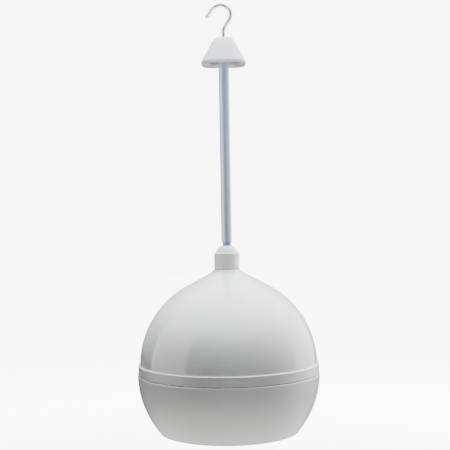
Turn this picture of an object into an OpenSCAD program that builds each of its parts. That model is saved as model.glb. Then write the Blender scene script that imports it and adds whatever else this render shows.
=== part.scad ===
// Hanging electric bug zapper: a white ball on a short tube, with a swivel hook and a rain cap.
// Millimetres. +Z up, origin at the centre of the flat rim that the ball stands on.
// Insects enter through the guard in the base, meet the charged grid round the lamp and drop
// into the catch tray. The dome holds the electronics.

/* [Ball] */
// Outer radius of the dome
dome_r = 106; // [100:1:110]
// Height of the dome's centre above the base
dome_z = 80; // [76:1:84]
// Outer radius of the lower shell
bowl_r = 109; // [107:1:112]
// Height of the lower shell's centre above the base
bowl_z = 71; // [69:1:73]
// Wall of both shells
wall = 2.5; // [2:0.5:3]
// Radius at which the dome passes into its straight flare
flare_r = 50; // [46:1:56]

/* [Seam band] */
// Underside of the band
band_low = 70; // [69:0.5:71]
// Top of the band
band_high = 82; // [80:0.5:84]
// Outer radius of the band
band_r = 108.2; // [107.5:0.1:109]

/* [Neck and tube] */
// Radius of the neck collar
neck_r = 15; // [13:0.5:17]
// Top of the neck collar
collar_top = 213.4; // [211:0.2:216]
// Top of the domed gland nut
gland_top = 222; // [220:0.5:224]
// Outer radius of the tube
tube_r = 6.3; // [5.8:0.1:7]
// Radius of the threaded nipple and of the tube's bore
thread_r = 5; // [4.5:0.1:5.2]
// Lower end of the tube
tube_low = 226; // [224:0.5:228]
// Upper end of the tube
tube_high = 461; // [440:1:480]

/* [Hanger] */
// Height of the rain cap
cap_h = 32.4; // [28:0.2:36]
// Half width of the cap at its rim
cap_half = 26.6; // [24:0.2:29]
// Half width of the cap at its top
cap_top_half = 9.3; // [9:0.1:11]
// Radius of the hook's wire
wire_r = 2.3; // [1.8:0.1:2.5]
// Radius of the hook's bend
hook_r = 12; // [10:0.5:15]
// Height of the bend's centre above the top of the tube
hook_rise = 37.6; // [34:0.2:42]

/* [Guard and tray] */
// Outer radius of the guard
guard_r = 75.5; // [74:0.5:76]
// Number of bars in the guard
guard_bar_count = 36; // [24:2:40]
// Outer radius of the catch tray
tray_r = 46.7; // [44:0.1:46.8]
// Height of the tray's rim
tray_top = 22; // [16:1:22]

/* [Grid] */
// Radius of the circle of grid wires
grid_r = 38; // [36:0.5:39]
// Number of grid wires, half of them live
grid_wires = 36; // [24:4:40]
// Radius of a grid wire
grid_wire_r = 0.9; // [0.6:0.1:1]

/* [Hidden] */
$fn = 96;

// Hanger, worked up from the top of the tube
plug_flange_h = 6.5;            // flange that the cap rests on
cap_plate = 3.1;                // thickness of the cap's top
cap_seat = tube_high + plug_flange_h;
cap_top = cap_seat + cap_plate;
cap_low = cap_top - cap_h;
cap_rim_h = 0.8;                // straight part of the rim
cap_corner = 15;                // at the rim; the corners sharpen towards the top
cap_lip = 1.6;                  // rounding of the rim's outer edge
cap_crown = 5.2;                // height over which the cap's top rounds off
cap_shoulder = 13.2;            // half width below the crown
cap_hole_r = wire_r + 0.6;
cavity_half = 19;
cavity_corner = 13;
cavity_straight = 7;            // straight part of the cap's hollow
plug_flange_r = 7.2;
plug_gap = 0.08;                // running clearance of the hook's shank in the plug
plug_low = tube_high - 5;
washer_h = 1;
washer_top = plug_low - 0.15;
nut_h = 3.9;
nut_top = washer_top - washer_h;
shank_low = nut_top - nut_h - 1;
hook_x = -2.9;                  // the bend's centre lies this far beside the shank
hook_z = tube_high + hook_rise;
lean = 32;                      // slope of the hook's S bend from the vertical
bend_r = 10;
leg_angle = 144.8;              // where the bend runs out into the straight leg
leg_len = 12.6;
lead_r = 1.6;
lead_exit_z = 446.5;
block = [12, 8, 9];             // terminal block, behind the tube and inside the rain cap
block_at = [-block[0] / 2, 8.5, 440.5];
terminal_x = 3;
terminal_y = block_at[1] + 5.5;
terminal_r = 1.5;
cord_y = block_at[1] + 4;       // row of the holes that take the conductors
cord_hole_r = 1.2;
clip_low = 441;
clip_h = 3;
clip_t = 1.2;

// Neck
neck_top = dome_z + sqrt(pow(dome_r, 2) - pow(flare_r, 2))
    + (flare_r - neck_r) * flare_r / sqrt(pow(dome_r, 2) - pow(flare_r, 2)) + 1.6;
gasket_h = 0.8;
collar_low = neck_top + gasket_h;
neck_roof = 5;                  // thickness of the shell at the top of its neck
neck_fillet = 9.2;              // radius where the flare runs into the neck
nipple_low = 172;
nipple_high = tube_low + 14;
ridge = 0.35;                   // how far the thread stands proud
lead_bore_r = 3.6;
gland_r = 13.4;
gland_edge = 0.8;               // straight edge below the gland nut's dome
gland_flat_r = 7.2;
lock_washer_h = 1.5;
lock_nut_h = 4;
lock_nut_flats = 17;

// Seam and chassis
band_in = 101;
gasket_t = 1;
spigot_h = 4;                   // how far the band's spigot reaches up inside the dome
flange_in = 93;                 // inner radius of the band's flange
flange_low = 76;
flange_top = 79;
plate_top = 81.5;
screw_pcr = 96;                 // radius of the circle of shell and chassis screws
screw_r = 1.5;
shell_turns = [30, 150, 270];   // where the lower shell is screwed to the band
chassis_turns = [90, 210, 330]; // where the chassis is screwed to the dome
boss_r = 4.5;
boss_low = 55;                  // underside of the lower shell's bosses
board_z = 90;
board_x = 90;
board_y = 54;
board_y0 = 24;
board_t = 1.6;
standoff_in = 5;
standoff_wall = 1.5;
board_top = board_z + board_t;  // parts on the board stand at this height
coil_at = [-24, 58];
core = [26, 22, 22];            // transformer core, with two windows
core_base = 5;
window = [6, 12];
window_x = 6;
capacitor_r = 7;
fuse_r = 2.4;
connector = [10, 10, 8];
connector_x = [-34, -18, 39];
connector_y = 32;
lead_in = 3;                    // height at which the inner leads enter their connectors

// Chamber
lamp_bore_r = 12;
lamp_tube_r = 4.4;
lamp_tube_gap = 6.2;            // half the distance between the legs of a lamp tube
lamp_low = 33;                  // lower end of the lamp tubes
lamp_neck = 70;                 // where the tubes enter the lamp's base
lamp_top = 92;
holder_low = 72;
holder_top = 96;
feed_r = 3.5;                   // hole in the chassis for the high-voltage lead
ring_top_low = 70;
ring_bottom_low = 27;
ring_h = 4;
ring_in = 30;
ring_out = 41.5;
bus_h = 1.2;
post_r = 2;
post_pcr = 33.5;                // radius of the circle of grid posts
post_turns = [0, 120, 240];
post_low = 23;
spacer_r = 2.8;
sheet_t = 1.2;
dish_flat = 62;                 // where the reflector starts to slope down
dish_r = 92.4;
dish_low = 71.8;

// Base
lip_r = 77;                     // inner radius of the rim that the ball stands on
lip_h = 3;
guard_low = 4;
guard_h = 4;
guard_top = guard_low + guard_h;
guard_ring_w = 4;
guard_bar_r = 1.1;
rim_in = guard_r - guard_ring_w;
hub_in = tray_r + 0.3;
hub_out = hub_in + 4;
hub_h = 7;
spoke_w = 5;
chord_y = 64.5;                 // the guard's straight edge along its hinge
hinge_y = 69;
hinge_z = 2.5;
pin_r = 1.1;
pin_gap = 0.06;                 // running clearance of the pin in the guard's knuckles
knuckle_r = 2.3;
knuckle_in = 8;
knuckle_w = 18;
knuckle_web = 1.6;
lug_in = 26.5;
lug_out = 33;
switch_x = 74;
switch = [10, 20, 10];
switch_low = 13;
plunger_r = 1.8;
magnet_y = -75;
magnet_top = 13;
magnet_gap = 0.3;
strike_t = 1;
tray_low = 1.8;
tray_wall = 2;
tray_floor_top = tray_low + tray_wall;
flange_w = 2.6;                 // flange that stops the tray against the guard's hub
cup_r = 16;                     // recess for the fingers
cup_top = 12;
seal_r = 0.8;
seal_z = 8;

// A ring or disc between two radii
module ring(inner, outer, low, high)
    translate([0, 0, low])
        rotate_extrude() translate([inner, 0]) square([outer - inner, high - low]);

// A straight round bar between two points
module rod(from, to, radius) {
    way = to - from;
    across = norm([way[0], way[1]]);
    translate(from)
        rotate([0, atan2(across, way[2]), atan2(way[1], way[0])])
            cylinder(h = norm(way), r = radius, $fn = 24);
}

// A square outline with round corners
module soft_square(half, corner) {
    square([2 * half, 2 * (half - corner)], center = true);
    square([2 * (half - corner), 2 * half], center = true);
    for (x = [-1, 1], y = [-1, 1])
        translate([x, y] * (half - corner)) circle(r = corner, $fn = 32);
}

// Hexagonal nut or head with a round hole
module hex(flats, height, hole) {
    difference() {
        cylinder(h = height, r = flats / sqrt(3), $fn = 6);
        if (hole > 0) translate([0, 0, -1]) cylinder(h = height + 2, r = hole);
    }
}

// A pan-head screw that stands head down at the origin
module screw(length, head_r = 2.8, head_h = 2) {
    translate([0, 0, -head_h]) difference() {
        cylinder(h = head_h, r = head_r);
        translate([-head_r, -0.4, -1]) cube([2 * head_r, 0.8, 1.8]);
    }
    cylinder(h = length, r = screw_r);
}

// A round wire swept through a list of points
function unit(v) = v / norm(v);
function heading(path, i) =
    unit(path[min(i + 1, len(path) - 1)] - path[max(i - 1, 0)]);
// The reference is a direction that the path never runs along
module wire(path, radius, reference, sides = 8) {
    count = len(path);
    points = [for (i = [0 : count - 1])
        let (way = heading(path, i), u = unit(cross(way, reference)), v = cross(way, u))
            for (s = [0 : sides - 1])
                path[i] + radius * (cos(s * 360 / sides) * u + sin(s * 360 / sides) * v)];
    skin = [for (i = [0 : count - 2], s = [0 : sides - 1])
        let (here = i * sides + s, beside = i * sides + (s + 1) % sides)
            each [[here, beside, beside + sides], [here, beside + sides, here + sides]]];
    first = [for (s = [sides - 1 : -1 : 0]) s];
    last = [for (s = [0 : sides - 1]) (count - 1) * sides + s];
    polyhedron(points, concat(skin, [first, last]));
}

oblique = [0.5, 0.5, 0.7];        // reference for the leads, which never run this way

// Points of a smooth curve through four control points
function bezier(a, b, c, d, steps = 10) = [for (i = [0 : steps])
    let (t = i / steps, s = 1 - t) a * s * s * s + 3 * b * s * s * t + 3 * c * s * t * t + d * t * t * t];

// ---------- Hanger ----------

// Points of an arc that stands in the XZ plane
function arc(centre, radius, from, to, steps) = [for (i = [0 : steps])
    let (a = from + (to - from) * i / steps) centre + radius * [cos(a), 0, sin(a)]];

module hook() {
    centre = [hook_x, 0, hook_z];
    start = centre + hook_r * [cos(lean), 0, -sin(lean)];
    s_run = (start[0] - bend_r * (1 - cos(lean))) / sin(lean);
    shank_top = start[2] - s_run * cos(lean) - bend_r * sin(lean);
    leg_from = centre + hook_r * [cos(leg_angle), 0, sin(leg_angle)];
    leg_to = leg_from + leg_len * [-sin(leg_angle), 0, cos(leg_angle)];
    color("silver") wire(concat(
        [[0, 0, shank_low]],
        arc([bend_r, 0, shank_top], bend_r, 180, 180 - lean, 6),
        arc(centre, hook_r, -lean, leg_angle, 24),
        [leg_to]
    ), wire_r, [0, 1, 0], 16);
}

module hook_washer() color("gainsboro") ring(wire_r, 4.4, washer_top - washer_h, washer_top);

module hook_nut() color("silver") translate([0, 0, nut_top - nut_h]) hex(8, nut_h, wire_r);

module rod_plug() color("dimgray") difference() {
    union() {
        translate([0, 0, plug_low]) cylinder(h = tube_high - plug_low, r = thread_r);
        translate([0, 0, tube_high]) cylinder(h = plug_flange_h, r = plug_flange_r);
    }
    translate([0, 0, plug_low - 1]) cylinder(h = 20, r = wire_r + plug_gap);
}

module hanger_cap() color("whitesmoke") difference() {
    hull() {
        for (step = [[cap_lip, 0], [0.3 * cap_lip, 0.3 * cap_lip], [0, cap_lip]])
            translate([0, 0, cap_low + step[1]])
                linear_extrude(0.1) soft_square(cap_half - step[0], cap_corner - step[0]);
        translate([0, 0, cap_low + cap_lip])
            linear_extrude(cap_rim_h) soft_square(cap_half, cap_corner);
        translate([0, 0, cap_top - cap_crown]) linear_extrude(0.1) soft_square(cap_shoulder, 4.5);
        translate([0, 0, cap_top - 1.5])
            linear_extrude(0.1) soft_square(cap_top_half + 1.2, 4);
        translate([0, 0, cap_top - 0.1])
            linear_extrude(0.1) soft_square(cap_top_half - 0.9, 3.2);
    }
    translate([0, 0, cap_low - 1])
        linear_extrude(cavity_straight + 1) soft_square(cavity_half, cavity_corner);
    hull() {
        translate([0, 0, cap_low + cavity_straight - 0.1])
            linear_extrude(0.1) soft_square(cavity_half, cavity_corner);
        translate([0, 0, cap_seat - 0.1]) linear_extrude(0.1) soft_square(cap_top_half - 1.4, 3);
    }
    translate([0, 0, cap_seat - 1]) cylinder(h = cap_plate + 2, r = cap_hole_r);
}

module rod_tube() color("slategray") difference() {
    translate([0, 0, tube_low]) cylinder(h = tube_high - tube_low, r = tube_r);
    translate([0, 0, tube_low - 1]) cylinder(h = tube_high - tube_low + 2, r = thread_r);
    translate([0, 0, lead_exit_z]) rotate([-90, 0, 0]) cylinder(h = 10, r = lead_r + 0.6);
}

module terminal_block() color("white") difference() {
    translate(block_at) cube(block);
    for (side = [-1, 1]) translate([side * terminal_x, 0, block_at[2]]) {
        translate([0, terminal_y, 5]) cylinder(h = 6, r = terminal_r, $fn = 32);
        translate([0, cord_y, -1]) cylinder(h = 6, r = cord_hole_r, $fn = 32);
    }
}

module terminal_screws() color("goldenrod")
    for (side = [-1, 1]) translate([side * terminal_x, terminal_y, block_at[2] + 5]) difference() {
        cylinder(h = 3, r = terminal_r, $fn = 32);
        translate([-2, -0.3, 2.2]) cube([4, 0.6, 2]);
    }

module block_clip() color("darkgray") {
    ring(tube_r, tube_r + clip_t, clip_low, clip_low + clip_h);
    difference() {
        translate([-5, 0, clip_low]) cube([10, block_at[1], clip_h]);
        translate([0, 0, clip_low - 1]) cylinder(h = clip_h + 2, r = tube_r + clip_t / 2);
    }
}

// The lead leaves the front of the block and runs down inside the tube to the circuit board
module supply_lead() color("black") {
    to = [connector_x[0], connector_y + connector[1] / 2, board_top + connector[2]];
    wire(concat(
        bezier([0, block_at[1], lead_exit_z], [0, 4, lead_exit_z], [0, 0, lead_exit_z],
            [0, 0, lead_exit_z - 8]),
        [for (z = [lead_exit_z - 40 : -60 : nipple_low + 20]) [0, 0, z]],
        bezier([0, 0, nipple_low - 6], [0, 0, nipple_low - 42], to + [0, 0, 30], to)
    ), lead_r, oblique);
}

// ---------- Neck ----------

module threaded_nipple() color("dimgray") difference() {
    union() {
        translate([0, 0, nipple_low]) cylinder(h = nipple_high - nipple_low, r = thread_r);
        for (z = [gland_top : 1 : tube_low - 1])
            ring(thread_r - 0.5, thread_r + ridge, z + 0.2, z + 0.8);
    }
    translate([0, 0, nipple_low - 1]) cylinder(h = 100, r = lead_bore_r);
}

module gland_nut() color("white") {
    height = gland_top - collar_top;
    dome_drop = 3.4;
    translate([0, 0, collar_top]) difference() {
        union() {
            cylinder(h = gland_edge, r = gland_r);
            intersection() {
                translate([0, 0, -dome_drop]) sphere(r = gland_r + 0.2);
                translate([0, 0, 0.5]) cylinder(h = height - 1.3, r = gland_r);
            }
            cylinder(h = height, r = gland_flat_r);
        }
        translate([0, 0, -1]) cylinder(h = height + 2, r = thread_r);
    }
}

module neck_collar() color("gainsboro") difference() {
    rotate_extrude() polygon([[0, collar_low], [neck_r, collar_low], [neck_r + 0.3, collar_top - 0.8],
        [neck_r - 0.4, collar_top], [0, collar_top]]);
    translate([0, 0, collar_low - 1]) cylinder(h = 30, r = thread_r);
}

module neck_gasket() color("lightgray") ring(thread_r, neck_r - 0.2, neck_top, collar_low);

module lock_washer() color("silver")
    ring(thread_r, 10, neck_top - neck_roof - lock_washer_h, neck_top - neck_roof);

module lock_nut() color("silver")
    translate([0, 0, neck_top - neck_roof - lock_washer_h - lock_nut_h])
        hex(lock_nut_flats, lock_nut_h, thread_r);

// ---------- Shells ----------

// Outline of the dome and its flared neck, drawn in by a given wall
module dome_outline(inset, low) {
    tangent_z = sqrt(pow(dome_r, 2) - pow(flare_r, 2));
    flare = atan2(flare_r, tangent_z);
    shift = inset * [sin(flare), cos(flare)];
    rise = function (r) dome_z + tangent_z + (flare_r - r) * flare_r / tangent_z;
    roof = inset > 0 ? neck_top - neck_roof : neck_top;
    intersection() {
        translate([0, dome_z]) circle(r = dome_r - inset, $fn = 192);
        translate([0, low]) square([dome_r, dome_z + tangent_z - low]);
    }
    polygon([[0, dome_z], [flare_r - shift[0], dome_z + tangent_z - shift[1]],
        [neck_r - inset, rise(neck_r) - shift[1]], [neck_r - inset, roof], [0, roof]]);
    if (inset == 0) difference() {
        foot = neck_r + neck_fillet;
        polygon([[0, dome_z + dome_r / 2], [foot + 2, rise(foot + 2) - 0.01],
            [foot - 3, rise(foot - 3)], [neck_r, neck_top], [0, neck_top]]);
        translate([foot, neck_top]) circle(r = neck_fillet);
    }
}

module upper_shell() color("white") difference() {
    union() {
        difference() {
            rotate_extrude($fn = 192) dome_outline(0, band_high);
            rotate_extrude($fn = 192) dome_outline(wall, band_high - 1);
        }
        intersection() {
            for (turn = chassis_turns) rotate(turn) translate([screw_pcr, 0, plate_top])
                cylinder(h = 40, r = boss_r);
            translate([0, 0, dome_z]) sphere(r = dome_r - 1, $fn = 192);
        }
    }
    translate([0, 0, neck_top - 20]) cylinder(h = 30, r = thread_r);
    for (turn = chassis_turns) rotate(turn) translate([screw_pcr, 0, plate_top - 1])
        cylinder(h = 13, r = screw_r);
}

module seam_band() color("gainsboro") difference() {
    rotate_extrude($fn = 192) {
        polygon([[band_in, band_low], [band_r - 0.5, band_low], [band_r, band_low + 0.5],
            [band_r, band_high - 0.6], [band_r - 0.6, band_high], [band_in, band_high]]);
        translate([band_in, band_high - 1])
            square([dome_r - wall - 0.2 - band_in, spigot_h + 1]);
        translate([flange_in, flange_low])
            square([band_in + 1 - flange_in, flange_top - flange_low]);
    }
    for (turn = concat(shell_turns, chassis_turns)) rotate(turn)
        translate([screw_pcr, 0, flange_low - 1]) cylinder(h = 5, r = screw_r);
}

module seam_gasket() color("dimgray")
    ring(band_in + 1, band_r - 0.8, band_low - gasket_t, band_low);

module lower_shell() color("white") {
    inner = bowl_r - wall;
    top = band_low - gasket_t;
    difference() {
        union() {
            rotate_extrude($fn = 192) difference() {
                intersection() {
                    translate([0, bowl_z]) circle(r = bowl_r, $fn = 192);
                    square([bowl_r + 1, top]);
                }
                translate([0, bowl_z]) circle(r = inner, $fn = 192);
                translate([0, -1]) square([lip_r, bowl_z]);
            }
            ring(lip_r, lip_r + 4, 0, lip_h, $fn = 192);
            intersection() {
                union() {
                    for (turn = shell_turns) rotate(turn) {
                        translate([screw_pcr, 0, boss_low]) cylinder(h = top - boss_low, r = boss_r);
                        translate([screw_pcr, -2, boss_low]) cube([15, 4, top - boss_low]);
                    }
                    // pad that carries the interlock switch
                    translate([switch_x + 6, -switch[1] / 2, switch_low])
                        cube([30, switch[1], switch[2]]);
                    // pad that carries the catch magnet
                    translate([-8, -bowl_r, magnet_top]) cube([16, bowl_r - 70, 5]);
                }
                translate([0, 0, bowl_z]) sphere(r = bowl_r - 1, $fn = 192);
            }
            // lugs that hold the ends of the guard's hinge pin
            for (side = [0, 1]) mirror([side, 0, 0]) {
                translate([lug_in, hinge_y, hinge_z]) rotate([0, 90, 0])
                    cylinder(h = lug_out - lug_in, r = knuckle_r);
                intersection() {
                    translate([lug_in, hinge_y, hinge_z - knuckle_r])
                        cube([lug_out - lug_in, 12, 2 * knuckle_r]);
                    cylinder(h = 20, r = lip_r + 2);
                }
            }
        }
        translate([-40, hinge_y, hinge_z]) rotate([0, 90, 0]) cylinder(h = 80, r = pin_r);
        for (turn = shell_turns) rotate(turn) translate([screw_pcr, 0, boss_low - 5])
            cylinder(h = 30, r = screw_r);
    }
}

module shell_screws() color("silver")
    for (turn = shell_turns) rotate(turn) translate([screw_pcr, 0, boss_low])
        screw(flange_top - boss_low);

module chassis_screws() color("silver")
    for (turn = chassis_turns) rotate(turn) translate([screw_pcr, 0, flange_low])
        screw(16);

// ---------- Dome electronics ----------

module board_holes(radius)
    for (x = [-1, 1], y = [0, 1])
        translate([x * (board_x / 2 - standoff_in),
            board_y0 + standoff_in + y * (board_y - 2 * standoff_in)])
            circle(r = radius);

module chassis_plate() color("silver") difference() {
    ring(lamp_bore_r + 3, 100.5, flange_top, plate_top);
    for (turn = chassis_turns) rotate(turn) translate([screw_pcr, 0, flange_top - 1])
        cylinder(h = 5, r = screw_r);
    for (turn = post_turns) rotate(turn) translate([post_pcr, 0, flange_top - 1])
        cylinder(h = 5, r = post_r);
    rotate(180) translate([grid_r, 0, flange_top - 1]) cylinder(h = 5, r = feed_r);
}

module circuit_board() color("darkgreen") translate([0, 0, board_z]) linear_extrude(board_t)
    difference() {
        translate([-board_x / 2, board_y0]) square([board_x, board_y]);
        board_holes(screw_r);
    }

module board_standoffs() color("ivory") translate([0, 0, plate_top]) {
    linear_extrude(board_z - plate_top) board_holes(screw_r + standoff_wall);
    linear_extrude(board_top + 1 - plate_top) board_holes(screw_r);
}

// The winding fills both windows of the core and laps round its front and back
module hv_transformer() color("dimgray") translate([coil_at[0], coil_at[1], board_top])
    difference() {
        translate([-core[0] / 2, -core[1] / 2, 0]) cube(core);
        for (side = [-1, 1]) translate([side * window_x - window[0] / 2, -core[1], core_base])
            cube([window[0], 2 * core[1], window[1]]);
    }

module transformer_winding() color("chocolate")
    translate([coil_at[0], coil_at[1], board_top + core_base + window[1] / 2]) difference() {
        cube([2 * window_x + window[0] - 1, core[1] + 5, window[1] - 0.2], center = true);
        cube([2 * window_x - window[0], core[1], window[1] + 2], center = true);
        for (side = [-1, 1]) translate([side * (window_x + window[0] / 2 + 2), 0, 0])
            cube([4, core[1], window[1] + 2], center = true);
    }

module hv_capacitors() color("royalblue")
    for (i = [0 : 3]) translate([4 + i * 9, 66, board_top + capacitor_r]) rotate([0, 90, 0])
        cylinder(h = 4, r = capacitor_r);

module lamp_choke() color("darkorange") translate([24, 42, board_top]) difference() {
    cylinder(h = 14, r = 9);
    translate([0, 0, 3]) cylinder(h = 12, r = 4);
}

module fuse() color("lightgray") translate([5, 40, board_top]) {
    axis_z = fuse_r + 0.8;
    rod([-9, 0, axis_z], [9, 0, axis_z], fuse_r);
    for (x = [-9, 5]) translate([x, -3, 0]) difference() {
        cube([4, 6, 5]);
        translate([-1, 3, axis_z]) rotate([0, 90, 0]) cylinder(h = 6, r = fuse_r, $fn = 24);
    }
}

module board_connectors() color("seagreen")
    for (x = connector_x) translate([x - connector[0] / 2, connector_y, board_top]) cube(connector);

module hv_lead() color("crimson") {
    from = [connector_x[1], connector_y, board_top + lead_in];
    to = [-grid_r, 0, ring_top_low + ring_h + bus_h];
    wire(bezier(from, from - [0, 19, 0], to + [0, 0, 26], to), 1.2, oblique);
}

module lamp_leads() color("white")
    for (side = [-1, 1]) {
        from = [connector_x[2] + side * 2.5, connector_y, board_top + lead_in];
        to = [side * 2 + 6, -side * 4, holder_top];
        wire(bezier(from, from - [0, 17, 0], to + [18, -side * 2, 14], to), 1.1, [1, 0, -1]);
    }

// ---------- Kill chamber ----------

module reflector() color("gainsboro") difference() {
    rotate_extrude() polygon([[lamp_bore_r + 3, flange_top - sheet_t],
        [dish_flat, flange_top - sheet_t], [dish_r, dish_low], [dish_r, dish_low + sheet_t],
        [dish_flat + 0.4, flange_top], [lamp_bore_r + 3, flange_top]]);
    for (turn = post_turns) rotate(turn) translate([post_pcr, 0, flange_top - 3])
        cylinder(h = 5, r = spacer_r);
    rotate(180) translate([grid_r, 0, flange_top - 3]) cylinder(h = 5, r = feed_r);
}

module lamp_holder() color("ivory") difference() {
    union() {
        translate([0, 0, holder_low]) cylinder(h = holder_top - holder_low, r = lamp_bore_r + 3);
        translate([0, 0, plate_top]) cylinder(h = 2.5, r = lamp_bore_r + 9);
    }
    translate([0, 0, holder_low - 1]) cylinder(h = lamp_top - holder_low + 1, r = lamp_bore_r);
}

module uv_lamp_base() color("white")
    translate([0, 0, lamp_neck]) cylinder(h = lamp_top - lamp_neck, r = lamp_bore_r);

module uv_lamp_tubes() color("mediumpurple") for (side = [-1, 1]) {
    bend_z = lamp_low + lamp_tube_gap + lamp_tube_r;
    for (end = [-1, 1]) translate([end * lamp_tube_gap, side * lamp_tube_gap, bend_z])
        cylinder(h = lamp_neck - bend_z, r = lamp_tube_r, $fn = 48);
    translate([0, side * lamp_tube_gap, bend_z]) rotate([90, 0, 0])
        rotate([0, 0, 180]) rotate_extrude(angle = 180)
            translate([lamp_tube_gap, 0]) circle(r = lamp_tube_r, $fn = 48);
}

module grid_ring(low) difference() {
    ring(ring_in, ring_out, low, low + ring_h);
    for (turn = post_turns) rotate(turn) translate([post_pcr, 0, low - 1])
        cylinder(h = ring_h + 2, r = post_r);
}

module grid_ring_top() color("ivory") grid_ring(ring_top_low);

module grid_ring_bottom() color("ivory") grid_ring(ring_bottom_low);

// Every second grid wire, from a first one on
module grid_comb(first, low, high)
    for (i = [first : 2 : grid_wires - 1])
        rotate((i + 0.5) * 360 / grid_wires) translate([grid_r, 0, low])
            cylinder(h = high - low, r = grid_wire_r, $fn = 16);

module grid_wires_live() color("silver")
    grid_comb(0, ring_bottom_low + 1, ring_top_low + ring_h);

module grid_wires_earth() color("silver")
    grid_comb(1, ring_bottom_low, ring_top_low + ring_h - 1);

module live_bus() color("goldenrod")
    ring(grid_r - 1.5, grid_r + 1.5, ring_top_low + ring_h, ring_top_low + ring_h + bus_h);

module earth_bus() color("goldenrod") difference() {
    ring(post_pcr - 3, grid_r + 1.5, ring_bottom_low - bus_h, ring_bottom_low);
    for (turn = post_turns) rotate(turn) translate([post_pcr, 0, 20])
        cylinder(h = 10, r = post_r);
}

module grid_posts() color("silver")
    for (turn = post_turns) rotate(turn) translate([post_pcr, 0, 0]) {
        translate([0, 0, post_low]) cylinder(h = plate_top - post_low, r = post_r);
        translate([0, 0, ring_top_low + ring_h])
            cylinder(h = flange_top - ring_top_low - ring_h, r = spacer_r);
    }

module grid_nuts() color("silver")
    for (turn = post_turns) rotate(turn)
        translate([post_pcr, 0, ring_bottom_low - bus_h - 2.4]) hex(5.5, 2.4, post_r);

// ---------- Guard, tray and interlock ----------

// Rim of the guard, with a straight edge and two knuckles along its hinge
module guard_frame() color("whitesmoke") difference() {
    union() {
        intersection() {
            ring(rim_in, guard_r, guard_low, guard_top);
            translate([-guard_r, -guard_r, 0]) cube([2 * guard_r, guard_r + chord_y, guard_top]);
        }
        intersection() {
            translate([-guard_r, chord_y - guard_ring_w, guard_low])
                cube([2 * guard_r, guard_ring_w, guard_h]);
            cylinder(h = guard_top, r = guard_r);
        }
        for (side = [0, 1]) mirror([side, 0, 0]) translate([knuckle_in, 0, 0]) {
            translate([0, hinge_y, hinge_z]) rotate([0, 90, 0])
                cylinder(h = knuckle_w, r = knuckle_r);
            translate([0, chord_y - 2, guard_low])
                cube([knuckle_w, hinge_y - chord_y + 2, knuckle_web]);
            translate([0, hinge_y - 1, hinge_z]) cube([knuckle_w, 2, 2]);
        }
    }
    translate([-40, hinge_y, hinge_z]) rotate([0, 90, 0]) cylinder(h = 80, r = pin_r + pin_gap);
}

// Ring that the catch tray plugs into
module guard_hub() color("whitesmoke") ring(hub_in, hub_out, guard_low, guard_low + hub_h);

module guard_spokes() color("whitesmoke") intersection() {
    ring(hub_out, rim_in, guard_low, guard_top);
    for (turn = [45 : 90 : 315]) rotate(turn)
        translate([hub_in, -spoke_w / 2, guard_low]) cube([guard_r - hub_in, spoke_w, guard_h]);
}

// Radial bars from the hub to the rim, shorter where the straight edge cuts across
module guard_bars() color("silver")
    for (i = [0 : guard_bar_count - 1]) {
        turn = (i + 0.5) * 360 / guard_bar_count;
        beside_spoke = abs((turn + 45) % 90) > 3 && abs((turn + 45) % 90) < 87;
        rim = guard_r - 3;
        edge = chord_y - 3;
        reach = sin(turn) * rim > edge ? edge / sin(turn) : rim;
        if (beside_spoke) rotate(turn) translate([hub_in + 2, 0, guard_low + guard_h / 2])
            rotate([0, 90, 0]) cylinder(h = reach - hub_in - 2, r = guard_bar_r, $fn = 16);
    }

module guard_hinge_pin() color("silver")
    translate([-lug_out, hinge_y, hinge_z]) rotate([0, 90, 0])
        cylinder(h = 2 * lug_out, r = pin_r);

module strike_plate() color("gray")
    translate([-7, magnet_y + 0.5, guard_top]) cube([14, 5, strike_t]);

module catch_magnet() color("dimgray") translate([-6, magnet_y, guard_top + strike_t + magnet_gap])
    cube([12, 6, magnet_top - guard_top - strike_t - magnet_gap]);

// Wall of the tray, with its stop flange and a groove for the seal
module catch_tray() color("whitesmoke") difference() {
    union() {
        ring(tray_r - tray_wall, tray_r, tray_low, tray_top);
        ring(tray_r - tray_wall, tray_r + flange_w, tray_low, tray_low + 1.9);
    }
    rotate_extrude() translate([tray_r + 0.1, seal_z]) circle(r = seal_r, $fn = 24);
}

module tray_floor() color("whitesmoke")
    ring(cup_r + tray_wall, tray_r - tray_wall, tray_low, tray_floor_top);

module finger_cup() color("whitesmoke") {
    ring(cup_r, cup_r + tray_wall, tray_low, cup_top + tray_wall);
    ring(0, cup_r + tray_wall, cup_top, cup_top + tray_wall);
}

module tray_seal() color("dimgray") rotate_extrude() intersection() {
    translate([tray_r + 0.1, seal_z]) circle(r = seal_r, $fn = 24);
    translate([tray_r - tray_wall, seal_z - 2]) square([tray_wall + 0.25, 4]);
}

module tray_grip() color("gainsboro")
    rod([-cup_r, 0, 4.6], [cup_r, 0, 4.6], 2.2);

module interlock_switch() color("black") translate([switch_x, 0, switch_low]) difference() {
    translate([-4, -switch[1] / 2, 0]) cube(switch);
    translate([0, 0, -1]) cylinder(h = 9, r = plunger_r + 1, $fn = 32);
}

module interlock_plunger() color("red") {
    low = guard_top + 0.2;
    translate([switch_x, 0, low]) cylinder(h = switch_low + 1 - low, r = plunger_r, $fn = 32);
    translate([switch_x, 0, switch_low + 1]) cylinder(h = 1, r = plunger_r + 0.8, $fn = 32);
}

// Compression spring between the plunger's collar and the switch's roof
module interlock_spring() color("silver") {
    turns = 4;
    low = switch_low + 2.3;
    high = switch_low + 7.7;
    spring_r = 1.9;
    steps = turns * 12;
    wire([for (i = [0 : steps]) [switch_x + spring_r * cos(i * 30), spring_r * sin(i * 30),
        low + (high - low) * i / steps]], 0.3, [0, 0, 1], 6);
}

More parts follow.
